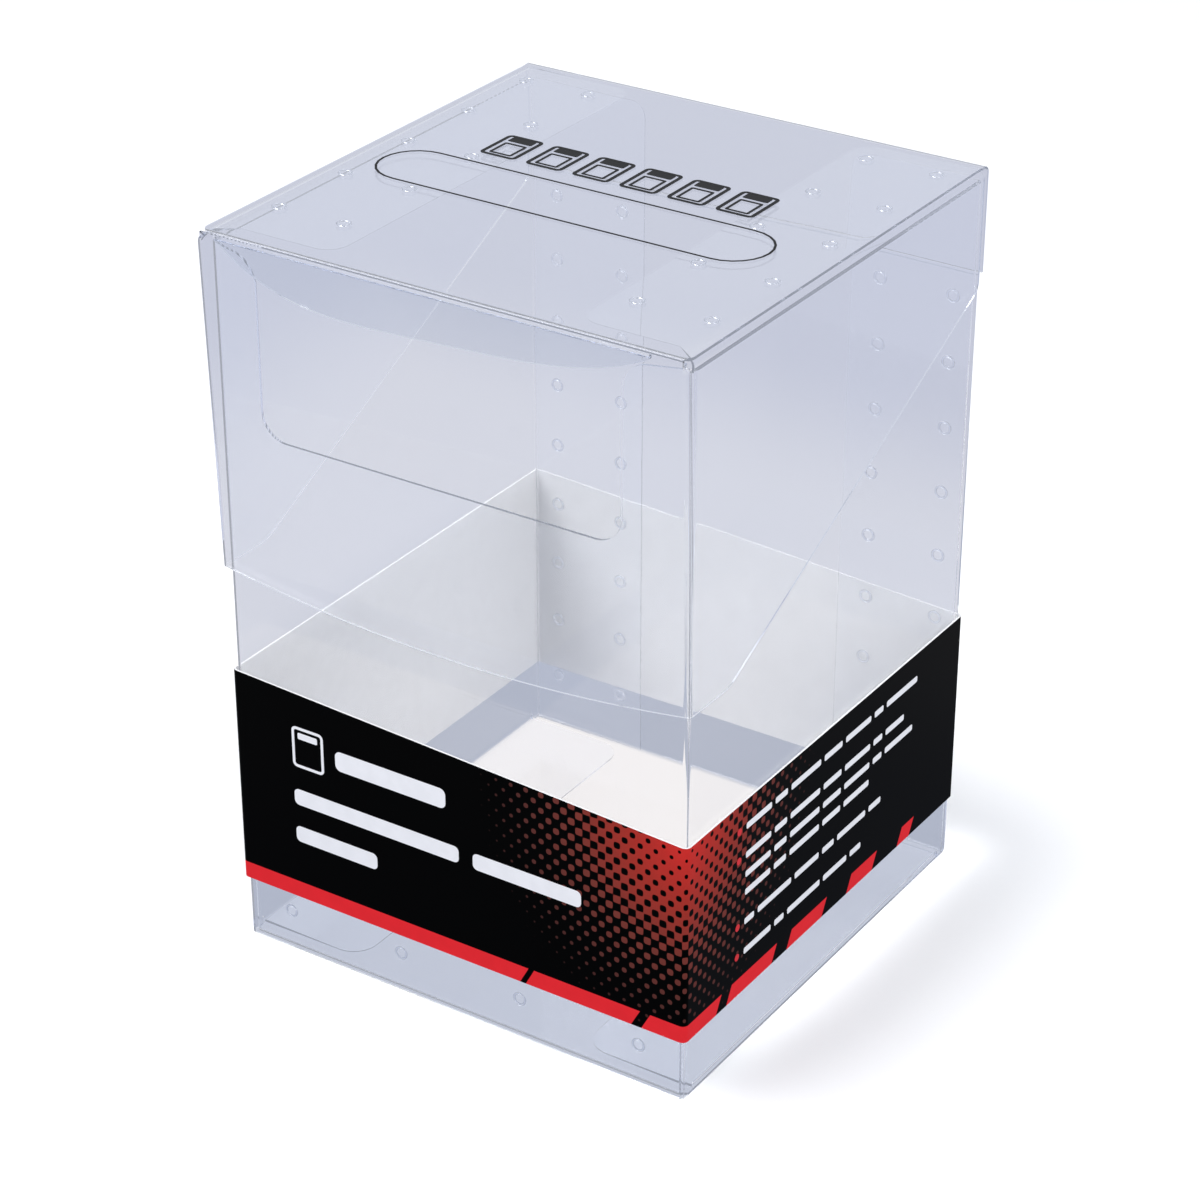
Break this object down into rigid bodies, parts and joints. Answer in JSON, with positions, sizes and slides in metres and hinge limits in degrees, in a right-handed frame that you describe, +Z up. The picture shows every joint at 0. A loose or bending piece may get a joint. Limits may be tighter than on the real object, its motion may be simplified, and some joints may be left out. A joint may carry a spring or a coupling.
{
  "type": "graded card storage box",
  "caption": "Clear folded-plastic storage box with a hood lid on a crease hinge, a curved locking lip over a thumb cut, and a printed paper band that slides over the body.",
  "frame": {"origin": "on the ground, in the middle of the body's bottom panel, halfway between the outer faces of the side walls and halfway between the front wall and the rear flanges", "axes": "+Z up, the front wall with the thumb cut faces -Y, the lid's crease is on the +Y side and runs along X"},
  "size_m": [0.097, 0.0995, 0.142],
  "materials": {
    "clear_sheet": "thin clear plastic sheet with a faint blue-grey tint, glossy, bright at folds and cut edges",
    "printed_board": "thin white board printed semi-gloss black with a red stripe and a red dot screen, plain white inside"
  },
  "bodies": {
    "box_body": {"front_panel": "clear_sheet", "left_side_panel": "clear_sheet", "right_side_panel": "clear_sheet", "left_rear_flange": "clear_sheet", "right_rear_flange": "clear_sheet", "back_panel": "clear_sheet", "bottom_panel": "clear_sheet", "left_dust_flap": "clear_sheet", "right_dust_flap": "clear_sheet", "bottom_glue_flap": "clear_sheet"},
    "lid": {"lid_back_flap": "clear_sheet", "lid_top_panel": "clear_sheet", "lid_front_flap": "clear_sheet", "left_lid_wing": "clear_sheet", "right_lid_wing": "clear_sheet", "left_wing_flange": "clear_sheet", "right_wing_flange": "clear_sheet"},
    "lip": {"locking_lip": "clear_sheet"},
    "band": {"paper_band": "printed_board"}
  },
  "joints": [
    {"name": "lid_hinge", "type": "hinge", "parent": "box_body", "child": "lid", "pos_m": [0, 0.0483, 0.1215], "axis": [-1, 0, 0], "range_deg": [0, 165]},
    {"name": "lip_fold", "type": "hinge", "parent": "lid", "child": "lip", "pos_m": [0, -0.04947, 0.14095], "axis": [1, 0, 0], "range_deg": [-10, 60], "stiffness_Nm_per_rad": 0.0003},
    {"name": "band_slide", "type": "slide", "parent": "box_body", "child": "band", "axis": [0, 0, 1], "range_m": [-0.0125, 0.014]}
  ]
}
